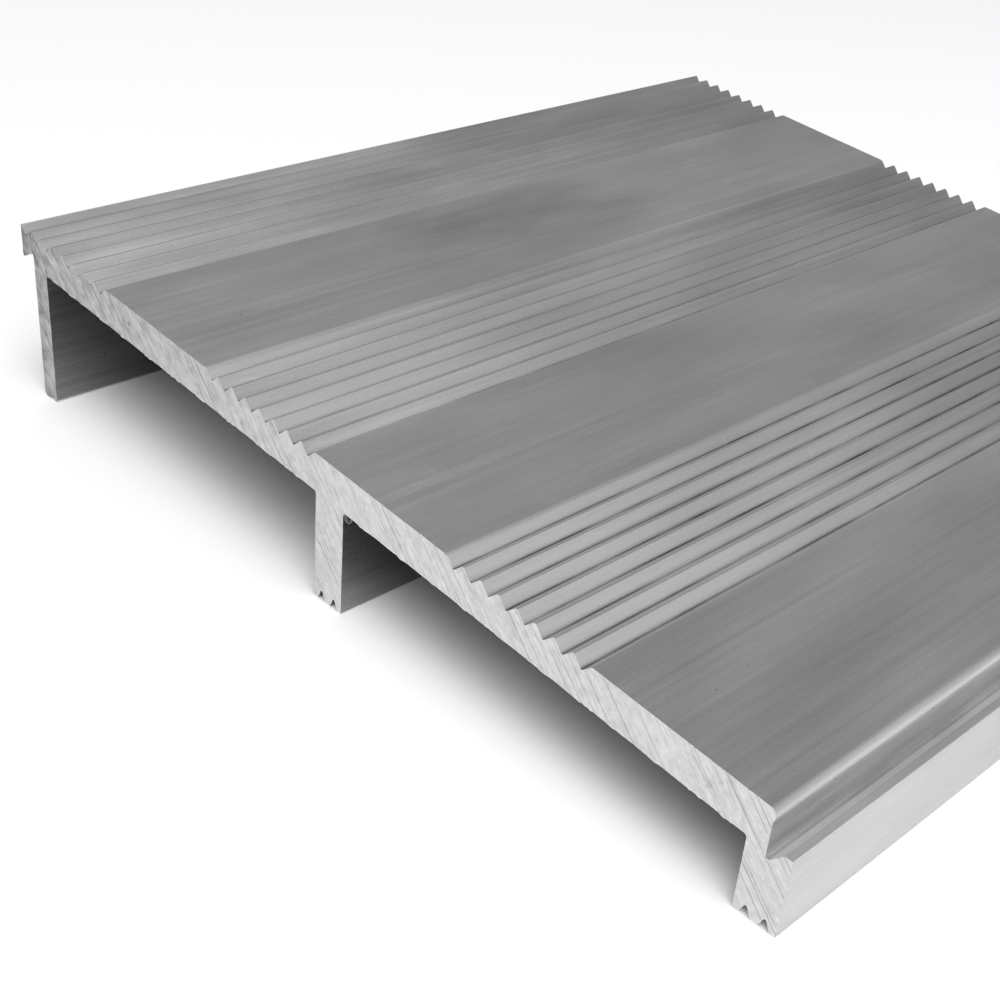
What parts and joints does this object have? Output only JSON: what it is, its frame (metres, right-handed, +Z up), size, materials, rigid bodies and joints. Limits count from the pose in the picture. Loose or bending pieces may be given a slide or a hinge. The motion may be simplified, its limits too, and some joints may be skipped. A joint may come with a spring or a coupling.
{
  "type": "ramp threshold section",
  "caption": "Sloping threshold ramp section: one aluminium extrusion with fluted bands, legs with ridged feet, a hook at the high edge and a catch groove at the low edge.",
  "frame": {"origin": "on the floor, under the middle of the section's box", "axes": "+X runs down the slope from the high edge to the low edge, +Y along the extrusion, +Z up"},
  "size_m": [0.1562, 0.165, 0.0288],
  "materials": {
    "mill_aluminium": "satin mill finish, sawn ends"
  },
  "bodies": {
    "root": {"ramp_extrusion": "mill_aluminium"}
  },
  "joints": []
}
